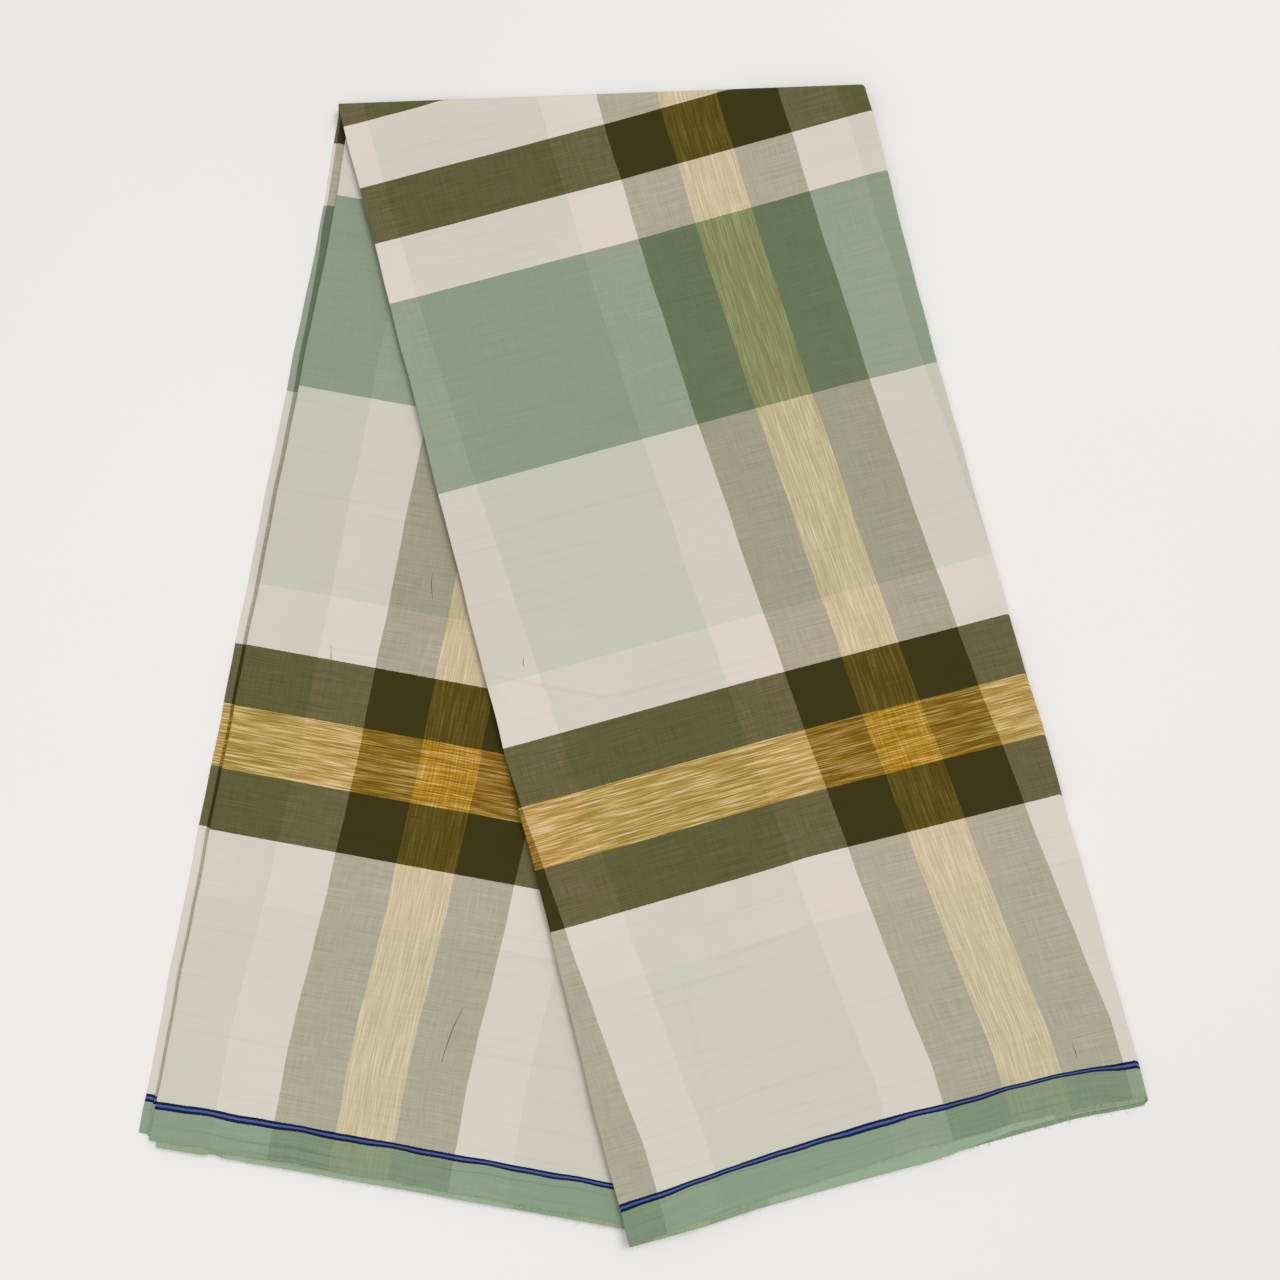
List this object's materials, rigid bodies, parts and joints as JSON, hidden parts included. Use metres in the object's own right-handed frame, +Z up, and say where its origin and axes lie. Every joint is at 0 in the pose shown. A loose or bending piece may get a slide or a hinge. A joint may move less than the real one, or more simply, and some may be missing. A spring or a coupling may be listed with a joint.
{
  "type": "longyi sarong",
  "caption": "Plaid cotton longyi, folded lengthwise into a layered strip and turned over at its middle, so its two halves lie as a narrow V with green hem borders.",
  "frame": {"origin": "on the resting surface, at the centre of the cloth's outline", "axes": "+Z up out of the surface, +Y towards the ridge that joins the two halves, +X to the right with the ridge away from the viewer"},
  "size_m": [0.5456, 0.6432, 0.0091],
  "materials": {
    "plaid_cloth": "fine plain weave in white, mint, green, olive and space-dyed gold, soft sheen",
    "inner_cloth": "the same cloth where its inner layers show at the edges",
    "border_cloth": "green woven border with a navy and blue line",
    "fringe_threads": "short frayed ends of the same yarns"
  },
  "bodies": {
    "root": {"left_half_front": "plaid_cloth", "left_half_back": "plaid_cloth", "right_half_front": "plaid_cloth", "right_half_back": "plaid_cloth", "ridge_fold": "plaid_cloth", "hidden_layers": "inner_cloth", "left_hem_border": "border_cloth", "right_hem_border": "border_cloth", "left_hem_fringe": "fringe_threads", "right_hem_fringe": "fringe_threads"}
  },
  "joints": []
}
